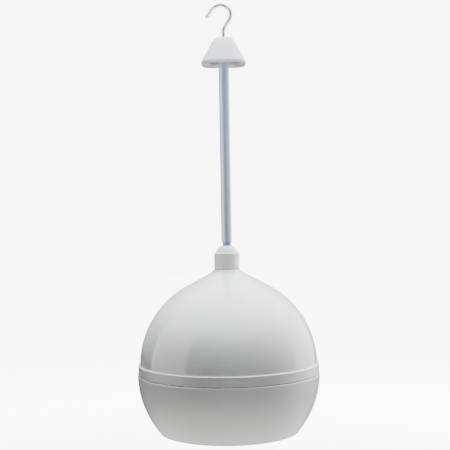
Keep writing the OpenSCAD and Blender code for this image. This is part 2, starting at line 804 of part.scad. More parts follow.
hook();
hook_washer();
hook_nut();
rod_plug();
hanger_cap();
rod_tube();
terminal_block();
terminal_screws();
block_clip();
supply_lead();
threaded_nipple();
gland_nut();
neck_collar();
neck_gasket();
lock_washer();
lock_nut();
upper_shell();
seam_band();
seam_gasket();
lower_shell();
shell_screws();
chassis_screws();
chassis_plate();
circuit_board();
board_standoffs();
hv_transformer();
transformer_winding();
hv_capacitors();
lamp_choke();
fuse();
board_connectors();
hv_lead();
lamp_leads();
reflector();
lamp_holder();
uv_lamp_base();
uv_lamp_tubes();
grid_ring_top();
grid_ring_bottom();
grid_posts();
grid_nuts();
grid_wires_live();
grid_wires_earth();
live_bus();
earth_bus();
guard_frame();
guard_hub();
guard_spokes();
guard_bars();
guard_hinge_pin();
strike_plate();
catch_magnet();
catch_tray();
tray_floor();
finger_cup();
tray_seal();
tray_grip();
interlock_switch();
interlock_plunger();
interlock_spring();
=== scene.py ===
import math

import bmesh
import bpy
from mathutils import Matrix, Vector


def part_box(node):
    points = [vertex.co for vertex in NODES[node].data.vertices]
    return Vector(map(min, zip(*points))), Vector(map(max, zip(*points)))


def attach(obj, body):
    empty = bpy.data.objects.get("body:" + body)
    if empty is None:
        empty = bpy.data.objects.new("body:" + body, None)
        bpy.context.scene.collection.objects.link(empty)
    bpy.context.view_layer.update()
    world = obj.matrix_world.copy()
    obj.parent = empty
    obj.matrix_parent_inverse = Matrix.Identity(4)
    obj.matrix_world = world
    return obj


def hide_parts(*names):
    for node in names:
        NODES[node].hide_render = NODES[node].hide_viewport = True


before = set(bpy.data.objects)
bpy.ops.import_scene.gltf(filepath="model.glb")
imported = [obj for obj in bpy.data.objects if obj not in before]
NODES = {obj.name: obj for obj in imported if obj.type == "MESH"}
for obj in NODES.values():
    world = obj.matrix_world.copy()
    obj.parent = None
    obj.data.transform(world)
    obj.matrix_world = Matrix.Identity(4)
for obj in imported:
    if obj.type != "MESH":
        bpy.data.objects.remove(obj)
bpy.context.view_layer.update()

# The looks of a hanging bug zapper, built round its CAD frame. Metres, +Z up, with the flat rim
# of its base at z = 0. It hangs, so the floor of the scene lies lower.

MM = 0.001


# ---------- Sizes, read from the frame where it holds them ----------

def low(node):
    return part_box(node)[0]


def high(node):
    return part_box(node)[1]


DOME_R = high("upper_shell").x
DOME_Z = 80 * MM                    # height of the dome's centre
DOME_LOW = low("upper_shell").z
NECK_TOP = high("upper_shell").z
FLARE_R = 50 * MM                   # where the dome passes into its flared neck
WALL = 2.5 * MM
BOWL_R = high("lower_shell").x
BOWL_Z = 71 * MM                    # height of the lower shell's centre
BOWL_TOP = high("lower_shell").z
LIP_R = 77 * MM                     # inner radius of the flat rim of the base
LIP_H = 3 * MM
BOSS_PCR = 96 * MM                  # circle of screw bosses in both shells
BOSS_R = 4.5 * MM
SCREW_R = 1.5 * MM                  # bore of the bosses
BAND_LOW = low("seam_band").z
BAND_HIGH = DOME_LOW
BAND_R = high("seam_band").x
TUBE_R = high("rod_tube").x
TUBE_LOW = low("rod_tube").z
TUBE_HIGH = high("rod_tube").z
THREAD_R = 5 * MM
COLLAR_LOW = low("neck_collar").z
COLLAR_TOP = high("neck_collar").z
COLLAR_R = 15 * MM
GLAND_R = high("gland_nut").x
GLAND_TOP = high("gland_nut").z
CAP_LOW = low("hanger_cap").z
CAP_TOP = high("hanger_cap").z
WIRE_R = high("hook").y
HINGE_Y = (low("guard_hinge_pin").y + high("guard_hinge_pin").y) / 2
HINGE_Z = (low("guard_hinge_pin").z + high("guard_hinge_pin").z) / 2
LUG_OUT = high("guard_hinge_pin").x
PIN_R = 1.1 * MM
FLOOR_DROP = 170 * MM               # room for the guard, which opens downwards


# ---------- Mesh tools ----------

def mesh_object(name, bm):
    mesh = bpy.data.meshes.new(name)
    bm.to_mesh(mesh)
    bm.free()
    obj = bpy.data.objects.new(name, mesh)
    bpy.context.collection.objects.link(obj)
    return obj


def new_object(name, bm, material, body, sharp=40):
    """Turns a bmesh into a smooth-shaded object that rides on a body."""
    bmesh.ops.recalc_face_normals(bm, faces=bm.faces)
    for face in bm.faces:
        face.smooth = True
    for edge in bm.edges:
        edge.smooth = not edge.is_manifold or edge.calc_face_angle(0) < math.radians(sharp)
    obj = mesh_object(name, bm)
    obj.data.materials.append(material)
    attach(obj, body)
    return obj


def arc(centre_r, centre_z, radius, start, end, steps):
    """Points of an arc in the plane of an outline; angles in degrees from the outward direction."""
    points = []
    for i in range(steps + 1):
        a = math.radians(start + (end - start) * i / steps)
        points.append((centre_r + radius * math.cos(a), centre_z + radius * math.sin(a)))
    return points


def rounded(corners, radius, steps=4):
    """A closed outline with round corners. A corner may carry its own radius as a third number."""
    most, beside = 0.45, 0.15       # share of a side that a round may take; extra points beside it
    points = []
    for i, corner in enumerate(corners):
        here = Vector(corner[:2])
        size = corner[2] if len(corner) > 2 else radius
        if size <= 0:
            points.append(tuple(here))
            continue
        back = Vector(corners[i - 1][:2]) - here
        on = Vector(corners[(i + 1) % len(corners)][:2]) - here
        half = back.angle(on) / 2
        cut = min(size / math.tan(half), back.length * most, on.length * most)
        size = cut * math.tan(half)
        back.normalize()
        on.normalize()
        start = here + back * cut
        end = here + on * cut
        middle = here + (back + on).normalized() * size / math.sin(half)
        points.append(tuple(start + back * cut * beside))
        for k in range(steps + 1):
            reach = start.lerp(end, k / steps) - middle
            points.append(tuple(middle + reach.normalized() * size))
        points.append(tuple(end + on * cut * beside))
    return points


def lathe_into(bm, outline, steps, centre=(0, 0)):
    """Revolves a closed outline of (radius, height) points about a vertical line."""
    rows = []
    for r, z in outline:
        row = []
        for s in range(steps if r > 1e-6 else 1):
            a = 2 * math.pi * s / steps
            row.append(bm.verts.new((centre[0] + r * math.cos(a), centre[1] + r * math.sin(a), z)))
        rows.append(row)
    for a, b in zip(rows, rows[1:] + rows[:1]):
        for s in range(steps):
            t = (s + 1) % steps
            if len(a) > 1 and len(b) > 1:
                bm.faces.new((a[s], a[t], b[t], b[s]))
            elif len(a) > 1:
                bm.faces.new((a[s], a[t], b[0]))
            elif len(b) > 1:
                bm.faces.new((a[0], b[t], b[s]))
    return [v for row in rows for v in row]


def lathe(name, outline, material, body, steps=192):
    bm = bmesh.new()
    lathe_into(bm, outline, steps)
    return new_object(name, bm, material, body)


def block_into(bm, lo, hi, bevel, turn=0):
    """Adds a box with bevelled edges, turned about the Z axis by some degrees."""
    size = Vector(hi) - Vector(lo)
    place = Matrix.Rotation(math.radians(turn), 4, "Z")
    place = place @ Matrix.Translation((Vector(hi) + Vector(lo)) / 2) @ Matrix.Diagonal((*size, 1))
    made = bmesh.ops.create_cube(bm, size=1, matrix=place)
    edges = {e for v in made["verts"] for e in v.link_edges}
    bmesh.ops.bevel(bm, geom=list(edges), offset=bevel, segments=2, affect="EDGES", profile=0.6)


def skin(bm, rings):
    """Joins each ring of points to the next with quads."""
    for a, b in zip(rings, rings[1:]):
        for s in range(len(a)):
            t = (s + 1) % len(a)
            bm.faces.new((a[s], a[t], b[t], b[s]))


def sweep_into(bm, path, radius, across, sides=32, end_round=0.25):
    """Sweeps a round wire along points; across is a direction that the path never runs along."""
    path = [Vector(p) for p in path]
    across = Vector(across)
    last = len(path) - 1
    edge = radius * end_round
    turns = [math.radians(a) for a in (0, 30, 60, 90)]
    ends = [(edge * (1 - math.cos(a)), 1 - end_round * (1 - math.sin(a))) for a in turns]
    stations = [(0, shift, scale) for shift, scale in ends]
    stations += [(i, 0, 1) for i in range(1, last)]
    stations += [(last, -shift, scale) for shift, scale in reversed(ends)]
    rings = []
    for i, shift, scale in stations:
        way = (path[min(i + 1, last)] - path[max(i - 1, 0)]).normalized()
        u = way.cross(across).normalized()
        v = way.cross(u)
        centre = path[i] + way * shift
        rings.append([bm.verts.new(centre + radius * scale * (math.cos(a) * u + math.sin(a) * v))
                      for a in (2 * math.pi * s / sides for s in range(sides))])
    skin(bm, rings)
    bm.faces.new(rings[0][::-1])
    bm.faces.new(rings[-1])


def soft_square(half, corner, height, sides=8, flats=6):
    """A closed ring of points: a square with round corners, corner = half makes it a circle."""
    ring = []
    reach = half - corner
    for quarter in range(4):
        turn = Matrix.Rotation(math.pi / 2 * quarter, 3, "Z")
        for i in range(flats):
            ring.append(turn @ Vector((half, reach * (2 * (i + 0.5) / flats - 1), height)))
        for i in range(sides + 1):
            a = math.pi / 2 * i / sides
            ring.append(turn @ Vector((reach + corner * math.cos(a), reach + corner * math.sin(a),
                                       height)))
    return ring


# ---------- Materials ----------

RELIEF = 0.05 * MM                  # height of the grain


def map_range(tree, value, span, smooth=True):
    """Turns a value from one range into another; span is from low, from high, to low, to high."""
    change = tree.nodes.new("ShaderNodeMapRange")
    if smooth:
        change.interpolation_type = "SMOOTHSTEP"
    for socket, number in zip(("From Min", "From Max", "To Min", "To Max"), span):
        change.inputs[socket].default_value = number
    tree.links.new(value, change.inputs["Value"])
    return change.outputs["Result"]


def surface(name, colour, roughness, metallic=0.0, tint=0.03, uneven=0.06, scale=60.0,
            grain=900.0, bump=0.02, stretch=(1, 1, 1), coat=0.0, sheen=0.0, glass=0.0):
    """A procedural finish: drifting tint, uneven gloss and a fine grain in the relief."""
    material = bpy.data.materials.new(name)
    material.use_nodes = True
    tree = material.node_tree
    shader = tree.nodes["Principled BSDF"]
    shader.inputs["Metallic"].default_value = metallic
    shader.inputs["Coat Weight"].default_value = coat
    shader.inputs["Coat Roughness"].default_value = 0.08
    shader.inputs["Sheen Weight"].default_value = sheen
    shader.inputs["Transmission Weight"].default_value = glass
    place = tree.nodes.new("ShaderNodeTexCoord")
    spread = tree.nodes.new("ShaderNodeMapping")
    spread.inputs["Scale"].default_value = stretch
    tree.links.new(place.outputs["Object"], spread.inputs["Vector"])

    drift = tree.nodes.new("ShaderNodeTexNoise")
    drift.inputs["Scale"].default_value = scale
    drift.inputs["Detail"].default_value = 4
    tree.links.new(spread.outputs["Vector"], drift.inputs["Vector"])
    ramp = tree.nodes.new("ShaderNodeValToRGB")
    ramp.color_ramp.elements[0].position = 0.3
    ramp.color_ramp.elements[1].position = 0.7
    ramp.color_ramp.elements[0].color = (*[c * (1 - tint) for c in colour], 1)
    ramp.color_ramp.elements[1].color = (*[min(1, c * (1 + tint)) for c in colour], 1)
    tree.links.new(drift.outputs["Fac"], ramp.inputs["Fac"])
    tree.links.new(ramp.outputs["Color"], shader.inputs["Base Color"])

    gloss = map_range(tree, drift.outputs["Fac"],
                      (0, 1, max(0.02, roughness - uneven), roughness + uneven), smooth=False)
    tree.links.new(gloss, shader.inputs["Roughness"])

    fine = tree.nodes.new("ShaderNodeTexNoise")
    fine.inputs["Scale"].default_value = grain
    fine.inputs["Detail"].default_value = 3
    tree.links.new(spread.outputs["Vector"], fine.inputs["Vector"])
    relief = tree.nodes.new("ShaderNodeBump")
    relief.inputs["Strength"].default_value = bump
    relief.inputs["Distance"].default_value = RELIEF
    tree.links.new(fine.outputs["Fac"], relief.inputs["Height"])
    tree.links.new(relief.outputs["Normal"], shader.inputs["Normal"])
    return material


def plastic(name, colour, roughness, **more):
    return surface(name, colour, roughness, **{"bump": 0.05, "grain": 700, **more})


def metal(name, colour, roughness, **more):
    return surface(name, colour, roughness, metallic=1.0, **{"bump": 0.08, "grain": 500, **more})


SHELL_WHITE = plastic("shell_white", (0.82, 0.82, 0.83), 0.06, tint=0.012, uneven=0.02,
                      scale=18, grain=260, bump=0.03)
BAND_WHITE = plastic("band_white", (0.76, 0.76, 0.77), 0.3, tint=0.02, scale=30)
NECK_WHITE = plastic("neck_white", (0.88, 0.88, 0.89), 0.38, tint=0.02, grain=1100)
CAP_WHITE = plastic("cap_white", (0.62, 0.62, 0.64), 0.36, tint=0.02, grain=1400, bump=0.12)
TUBE_GREY = surface("tube_grey", (0.40, 0.45, 0.55), 0.36, metallic=0.5, tint=0.05,
                    scale=260, grain=1500, bump=0.10, stretch=(1, 1, 0.03))
HOOK_STEEL = surface("hook_steel", (0.84, 0.84, 0.82), 0.2, metallic=0.85, uneven=0.05, scale=300)
DARK_STEEL = metal("dark_steel", (0.20, 0.21, 0.23), 0.36, scale=400)
STEEL = metal("steel", (0.70, 0.70, 0.72), 0.30, scale=300)
SHEET_METAL = metal("chassis_metal", (0.78, 0.79, 0.80), 0.32, scale=40, stretch=(1, 0.05, 1))
BRASS = metal("brass", (0.78, 0.58, 0.26), 0.30, tint=0.08, scale=300)
SEAL_GREY = plastic("seal_grey", (0.30, 0.30, 0.30), 0.55, tint=0.05, bump=0.15)
RUBBER = plastic("seal_rubber", (0.035, 0.035, 0.037), 0.62, sheen=0.3, bump=0.2)
LEAD_BLACK = plastic("lead_black", (0.03, 0.03, 0.03), 0.45)
LEAD_RED = plastic("lead_red", (0.45, 0.03, 0.03), 0.40)
LEAD_WHITE = plastic("lead_white", (0.75, 0.75, 0.73), 0.42)
IVORY = plastic("ivory_insulator", (0.78, 0.74, 0.62), 0.45, tint=0.04)
BOARD = plastic("board_green", (0.02, 0.14, 0.06), 0.35, tint=0.25, scale=900)
FERRITE = plastic("ferrite", (0.05, 0.05, 0.055), 0.55, bump=0.3)
COPPER = metal("copper_winding", (0.62, 0.28, 0.12), 0.35, tint=0.15, scale=200,
               stretch=(0.05, 1, 6), grain=1800, bump=0.6)
CERAMIC_BLUE = plastic("component_blue", (0.05, 0.14, 0.42), 0.30, tint=0.06)
FUSE_GLASS = surface("fuse_glass", (0.85, 0.90, 0.90), 0.08, glass=0.8)
CONNECTOR = plastic("connector_green", (0.04, 0.27, 0.10), 0.45)
LAMP_WHITE = plastic("lamp_base_white", (0.84, 0.84, 0.84), 0.28)
LAMP_GLASS = plastic("lamp_glass", (0.72, 0.68, 0.90), 0.14, tint=0.05, scale=120, coat=0.6,
                     bump=0.01)
GUARD_WHITE = plastic("guard_white", (0.80, 0.80, 0.80), 0.36, tint=0.02)
MAGNET = plastic("magnet_black", (0.06, 0.06, 0.065), 0.48, bump=0.3)
SWITCH_BLACK = plastic("switch_black", (0.03, 0.03, 0.03), 0.42)
PLUNGER_RED = plastic("plunger_red", (0.50, 0.03, 0.03), 0.32)

# CAD nodes that keep their own mesh, by finish
FINISHES = {
    STEEL: ["hook_washer", "hook_nut", "block_clip", "lock_washer", "lock_nut", "shell_screws",
            "chassis_screws", "grid_nuts", "grid_posts", "grid_wires_live", "grid_wires_earth",
            "guard_bars", "guard_hinge_pin", "strike_plate", "interlock_spring"],
    DARK_STEEL: ["rod_plug"],
    SHEET_METAL: ["chassis_plate", "reflector"],
    BRASS: ["terminal_screws", "live_bus", "earth_bus"],
    SEAL_GREY: ["neck_gasket", "seam_gasket"],
    RUBBER: ["tray_seal"],
    LEAD_BLACK: ["supply_lead"],
    LEAD_RED: ["hv_lead"],
    LEAD_WHITE: ["lamp_leads"],
    IVORY: ["grid_ring_top", "grid_ring_bottom", "lamp_holder", "board_standoffs",
            "terminal_block"],
    BOARD: ["circuit_board"],
    FERRITE: ["hv_transformer"],
    COPPER: ["transformer_winding", "lamp_choke"],
    CERAMIC_BLUE: ["hv_capacitors"],
    FUSE_GLASS: ["fuse"],
    CONNECTOR: ["board_connectors"],
    LAMP_WHITE: ["uv_lamp_base"],
    LAMP_GLASS: ["uv_lamp_tubes"],
    GUARD_WHITE: ["guard_frame", "guard_hub", "guard_spokes", "tray_floor", "finger_cup"],
    MAGNET: ["catch_magnet"],
    SWITCH_BLACK: ["interlock_switch"],
    PLUNGER_RED: ["interlock_plunger"],
}
for finish_material, names in FINISHES.items():
    for name in names:
        NODES[name].data.materials.clear()
        NODES[name].data.materials.append(finish_material)


# ---------- Hanger ----------

def make_hook():
    """One bent wire: shank, S bend, round bow and straight leg with a cut end."""
    bend_r, bow_r, lean, leg_angle = 10 * MM, 12 * MM, 32, 144.8
    centre = Vector((-2.9 * MM, 0, high("hook").z - WIRE_R - bow_r))
    tilt = math.radians(lean)
    start = centre + bow_r * Vector((math.cos(tilt), 0, -math.sin(tilt)))
    run = (start.x - bend_r * (1 - math.cos(tilt))) / math.sin(tilt)
    shank_top = start.z - run * math.cos(tilt) - bend_r * math.sin(tilt)

    def bow(middle, radius, a, b, steps):
        turns = [math.radians(a + (b - a) * i / steps) for i in range(steps + 1)]
        return [middle + radius * Vector((math.cos(t), 0, math.sin(t))) for t in turns]

    path = [Vector((0, 0, low("hook").z)), Vector((0, 0, shank_top - 8 * MM))]
    path += bow(Vector((bend_r, 0, shank_top)), bend_r, 180, 180 - lean, 10)
    path += bow(centre, bow_r, -lean, leg_angle, 48)
    end = math.radians(leg_angle)
    leg = Vector((-math.sin(end), 0, math.cos(end)))
    path += [path[-1] + leg * 6 * MM, path[-1] + leg * 12.6 * MM]
    bm = bmesh.new()
    sweep_into(bm, path, WIRE_R, (0, 1, 0))
    hook = new_object("hook_wire", bm, HOOK_STEEL, "hook")
    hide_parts("hook")


def make_cap():
    """A rounded square pyramid with a soft crown, a thick lip and a hollow that is open below."""
    seat = CAP_TOP - 3.1 * MM           # roof of the hollow
    cavity = CAP_LOW + 7 * MM           # down to here the hollow widens, and then it is straight
    side_low = CAP_LOW + 2.4 * MM
    shoulder = CAP_TOP - 5.2 * MM       # the sides run straight up to here
    levels = [(24.6, 13.0, 0), (25.4, 13.8, 0.2), (26.1, 14.5, 0.7), (26.5, 14.9, 1.3),
              (26.6, 15, 2)]            # lip: half width, corner radius and height in mm
    levels = [(half * MM, corner * MM, CAP_LOW + up * MM) for half, corner, up in levels]
    for t in (0.04, 0.1, 0.3, 0.5, 0.7, 0.9):
        levels.append(((26.6 - 13.4 * t) * MM, (15 - 10.5 * t) * MM,
                       side_low + (shoulder - side_low) * t))
    levels += [(half * MM, corner * MM, CAP_TOP - down * MM) for half, corner, down in
               ((13.1, 4.5, 5.1), (11.9, 4.3, 3.4), (11.0, 4.1, 2.2), (10.2, 3.9, 1.3),
                (9.3, 3.6, 0.6), (8.4, 3.4, 0.15), (7.6, 3.2, 0), (4.6, 3.4, 0), (3.2, 3.2, 0),
                (2.9, 2.9, 0.3))]
    levels += [(2.9 * MM, 2.9 * MM, seat), (7.2 * MM, 3 * MM, seat),
               (7.9 * MM, 3 * MM, seat - 0.6 * MM)]
    for t in (0.1, 0.5, 0.9, 1.0):
        levels.append(((7.9 + 11.1 * t) * MM, (3 + 10 * t) * MM, seat + (cavity - seat) * t))
    levels += [(half * MM, corner * MM, CAP_LOW + up * MM) for half, corner, up in
               ((19, 13, 4), (19.6, 13.6, 2.4), (20.8, 14.6, 1), (22.2, 15.2, 0.2), (23, 15, 0))]
    bm = bmesh.new()
    rings = [[bm.verts.new(p) for p in soft_square(*level)] for level in levels]
    skin(bm, rings + rings[:1])
    cap = new_object("rain_cap", bm, CAP_WHITE, "cap", sharp=50)
    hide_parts("hanger_cap")


def make_tube():
    edge = 0.35 * MM
    outline = rounded([(THREAD_R, TUBE_LOW), (TUBE_R, TUBE_LOW), (TUBE_R, TUBE_HIGH),
                       (THREAD_R, TUBE_HIGH)], edge)
    tube = lathe("tube", outline, TUBE_GREY, "housing", 96)
    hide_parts("rod_tube")


# ---------- Neck ----------

def make_nipple():
    """A threaded tube: the ridge climbs by one pitch for each turn."""
    pitch = 1.25 * MM
    bottom = low("threaded_nipple").z
    thread_top = TUBE_LOW - 0.1 * MM
    steps, rows_per_pitch = 64, 6
    rows = int((thread_top - bottom) / pitch * rows_per_pitch)
    bm = bmesh.new()
    rings = []
    for i in range(rows + 1):
        z = bottom + (thread_top - bottom) * i / rows
        ring = []
        for s in range(steps):
            a = 2 * math.pi * s / steps
            phase = (z / pitch - s / steps) % 1
            # the thread stands proud only where it shows, between the nut and the tube
            proud = 0.3 * MM if z > GLAND_TOP else 0
            r = THREAD_R - 0.45 * MM + proud + 0.4 * MM * (1 - abs(2 * phase - 1))
            ring.append(bm.verts.new((r * math.cos(a), r * math.sin(a), z)))
        rings.append(ring)
    for r, z in ((THREAD_R - 0.1 * MM, thread_top + 0.1 * MM),
                 (THREAD_R - 0.1 * MM, high("threaded_nipple").z - 0.4 * MM),
                 (THREAD_R - 0.5 * MM, high("threaded_nipple").z),
                 (3.6 * MM, high("threaded_nipple").z), (3.6 * MM, bottom)):
        rings.append([bm.verts.new((r * math.cos(a), r * math.sin(a), z))
                      for a in (2 * math.pi * s / steps for s in range(steps))])
    skin(bm, rings + rings[:1])
    nipple = new_object("nipple_thread", bm, DARK_STEEL, "housing", sharp=60)
    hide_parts("threaded_nipple")


def make_gland_nut():
    """A low domed nut with a flat round top."""
    base_z = COLLAR_TOP
    dome = arc(0, base_z - 3.4 * MM, 13.6 * MM, 17.5, 57.5, 18)
    outline = rounded([(THREAD_R, base_z, 0), (GLAND_R, base_z), (GLAND_R, base_z + 0.8 * MM)],
                      0.3 * MM)
    outline += [p for p in dome if p[0] > 7.6 * MM and p[0] < GLAND_R - 0.1 * MM]
    outline += rounded([(7.3 * MM, GLAND_TOP - 0.9 * MM, 0), (7.0 * MM, GLAND_TOP, 0.5 * MM),
                        (THREAD_R, GLAND_TOP, 0)], 0.4 * MM)
    nut = lathe("gland_dome_nut", outline, NECK_WHITE, "housing", 96)
    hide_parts("gland_nut")


def make_collar():
    outline = rounded([(THREAD_R, COLLAR_LOW), (COLLAR_R, COLLAR_LOW),
                       (COLLAR_R + 0.3 * MM, COLLAR_TOP - 0.8 * MM),
                       (COLLAR_R - 0.4 * MM, COLLAR_TOP), (THREAD_R, COLLAR_TOP)], 0.3 * MM)
    collar = lathe("neck_sleeve", outline, NECK_WHITE, "housing", 128)
    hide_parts("neck_collar")


# ---------- Shells ----------

def boss_into(bm, turn, bottom, top):
    """Adds a hollow screw boss on its circle, turned about the Z axis by some degrees."""
    outline = rounded([(SCREW_R, bottom), (BOSS_R, bottom), (BOSS_R, top), (SCREW_R, top)],
                      0.3 * MM)
    a = math.radians(turn)
    lathe_into(bm, outline, 32, (BOSS_PCR * math.cos(a), BOSS_PCR * math.sin(a)))


def dome_outline():
    """Outer side up from the rim, over the flare and the neck, and back down the inner side."""
    tangent = math.degrees(math.acos(FLARE_R / DOME_R))
    tangent_z = DOME_Z + DOME_R * math.sin(math.radians(tangent))
    slope = FLARE_R / (tangent_z - DOME_Z)
    start = math.degrees(math.asin((DOME_LOW - DOME_Z) / DOME_R))
    outer = arc(0, DOME_Z, DOME_R, start, tangent, 72)
    fillet = 9 * MM
    foot = COLLAR_R + fillet
    outer += rounded([(FLARE_R, tangent_z, 0),
                      (COLLAR_R, tangent_z + (FLARE_R - COLLAR_R) * slope, fillet),
                      (COLLAR_R, NECK_TOP + foot, 0)], fillet, 14)[1:-1]
    outer = [p for p in outer if p[1] < NECK_TOP - 0.2 * MM]
    outer += [(COLLAR_R - 0.3 * MM, NECK_TOP), (THREAD_R, NECK_TOP)]
    inner_r = DOME_R - WALL
    inner = [(THREAD_R, NECK_TOP - 5 * MM), (COLLAR_R - WALL, NECK_TOP - 5 * MM)]
    inner_end = math.degrees(math.asin((DOME_LOW - DOME_Z) / inner_r))
    inner += arc(0, DOME_Z, inner_r, tangent, inner_end, 60)
    return outer + inner


def make_dome():
    bm = bmesh.new()
    lathe_into(bm, dome_outline(), 256)
    boss_low = high("chassis_plate").z
    boss_top = DOME_Z + math.sqrt((DOME_R - WALL / 2) ** 2 - (BOSS_PCR + BOSS_R) ** 2)
    for turn in (90, 210, 330):
        boss_into(bm, turn, boss_low, boss_top)
    dome = new_object("dome", bm, SHELL_WHITE, "housing", sharp=55)
    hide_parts("upper_shell")


def make_band():
    """A raised band, with a spigot inside the dome and an inward flange for the screws."""
    inside, flange_in = 101 * MM, 93 * MM
    flange_low, flange_high = 76 * MM, 79 * MM
    spigot_r = DOME_R - WALL - 0.2 * MM
    spigot_top = high("seam_band").z
    outline = rounded([
        (inside, BAND_LOW), (BAND_R, BAND_LOW, 0.9 * MM), (BAND_R, BAND_HIGH, 0.9 * MM),
        (spigot_r, BAND_HIGH), (spigot_r, spigot_top), (inside, spigot_top),
        (inside, flange_high), (flange_in, flange_high), (flange_in, flange_low),
        (inside, flange_low),
    ], 0.4 * MM)
    band = lathe("equator_band", outline, BAND_WHITE, "housing", 256)
    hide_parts("seam_band")


def bowl_outline():
    inner_r = BOWL_R - WALL
    outer_low = math.degrees(math.asin((1.2 * MM - BOWL_Z) / BOWL_R))
    outer_top = math.degrees(math.asin((BOWL_TOP - 0.1 * MM - BOWL_Z) / BOWL_R))
    inner_low = math.degrees(math.asin((LIP_H - BOWL_Z) / inner_r))
    inner_top = math.degrees(math.asin((BOWL_TOP - BOWL_Z) / inner_r))
    foot_r = BOWL_R * math.cos(math.radians(outer_low))
    outline = arc(0, BOWL_Z, BOWL_R, outer_top, outer_low, 64)
    outline += arc(foot_r - 1.2 * MM, 1.2 * MM, 1.2 * MM, -20, -90, 6)
    outline += rounded([(foot_r - 2 * MM, 0, 0), (LIP_R, 0), (LIP_R, LIP_H),
                        (inner_r * math.cos(math.radians(inner_low)), LIP_H, 0)], 0.5 * MM)
    outline += arc(0, BOWL_Z, inner_r, inner_low, inner_top, 48)
    return outline + [(BOWL_R - 0.1 * MM, BOWL_TOP)]


def make_bowl():
    """The lower shell with its screw bosses, pads and hinge lugs."""
    bm = bmesh.new()
    lathe_into(bm, bowl_outline(), 256)
    boss_low = 55 * MM
    wall_reach = 106.2 * MM             # pads join the bosses to the wall
    for turn in (30, 150, 270):
        boss_into(bm, turn, boss_low, BOWL_TOP)
        block_into(bm, (BOSS_PCR + BOSS_R - 1 * MM, -2 * MM, boss_low),
                   (wall_reach, 2 * MM, BOWL_TOP - 0.5 * MM), 0.3 * MM, turn)
    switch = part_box("interlock_switch")
    block_into(bm, (switch[1].x, switch[0].y, switch[0].z),
               (90 * MM, switch[1].y, switch[1].z), 0.4 * MM)
    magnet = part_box("catch_magnet")
    block_into(bm, (-8 * MM, -90 * MM, magnet[1].z),
               (8 * MM, -70 * MM, magnet[1].z + 5 * MM), 0.5 * MM)
    lug_in, lug_r = 26.5 * MM, 2.3 * MM
    along_x = Matrix.Rotation(math.pi / 2, 4, "Y")
    for side in (-1, 1):
        lug = rounded([(PIN_R, lug_in), (lug_r, lug_in), (lug_r, LUG_OUT), (PIN_R, LUG_OUT)],
                      0.25 * MM)
        made = lathe_into(bm, lug, 32)
        place = Matrix.Translation((0, HINGE_Y, HINGE_Z))
        place = place @ Matrix.Scale(side, 4, (1, 0, 0)) @ along_x
        bmesh.ops.transform(bm, matrix=place, verts=made)
        ends = sorted((side * lug_in, side * LUG_OUT))
        block_into(bm, (ends[0], HINGE_Y + 1.4 * MM, HINGE_Z - lug_r),
                   (ends[1], HINGE_Y + 4.5 * MM, HINGE_Z + lug_r), 0.25 * MM)
    bowl = new_object("bowl", bm, SHELL_WHITE, "housing", sharp=55)
    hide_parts("lower_shell")


# ---------- Tray ----------

def make_tray():
    """The catch tray, with a flange that stops it and a recess for the fingers."""
    r = high("tray_seal").x - 0.25 * MM
    flange = high("catch_tray").x
    inner = high("tray_floor").x
    base, rim = low("catch_tray").z, high("catch_tray").z
    step = base + 1.9 * MM              # top of the flange
    outline = rounded([
        (inner, base, 0.1 * MM), (flange, base, 0.7 * MM), (flange, step, 0.5 * MM),
        (r, step, 0.2 * MM), (r, rim, 0.7 * MM), (inner, rim, 0.7 * MM),
    ], 0.5 * MM)
    tray = lathe("insect_tray", outline, GUARD_WHITE, "tray", 160)
    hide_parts("catch_tray")


def make_grip():
    """A waisted bar across the recess."""
    half = high("tray_grip").x
    radius = high("tray_grip").y
    height = (low("tray_grip").z + high("tray_grip").z) / 2
    steps = 24
    outline = [(0, -half)]
    for i in range(steps + 1):
        t = 2 * i / steps - 1
        outline.append((radius * (0.78 + 0.22 * t ** 4), half * t))
    outline.append((0, half))
    bm = bmesh.new()
    made = lathe_into(bm, outline, 32)
    place = Matrix.Translation((0, 0, height)) @ Matrix.Rotation(math.pi / 2, 4, "Y")
    bmesh.ops.transform(bm, matrix=place, verts=made)
    grip = new_object("tray_bar", bm, GUARD_WHITE, "tray")
    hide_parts("tray_grip")


make_hook()
make_cap()
make_tube()
make_nipple()
make_gland_nut()
make_collar()
make_dome()
make_band()
make_bowl()
make_tray()
make_grip()


# ---------- Stage, light and camera ----------

def radial(tree, near, far, at_near, at_far):
    """A value that changes with the distance from the middle of the floor."""
    place = tree.nodes.new("ShaderNodeTexCoord")
    reach = tree.nodes.new("ShaderNodeVectorMath")
    reach.operation = "LENGTH"
    tree.links.new(place.outputs["Object"], reach.inputs[0])
    return map_range(tree, reach.outputs["Value"], (near, far, at_near, at_far))


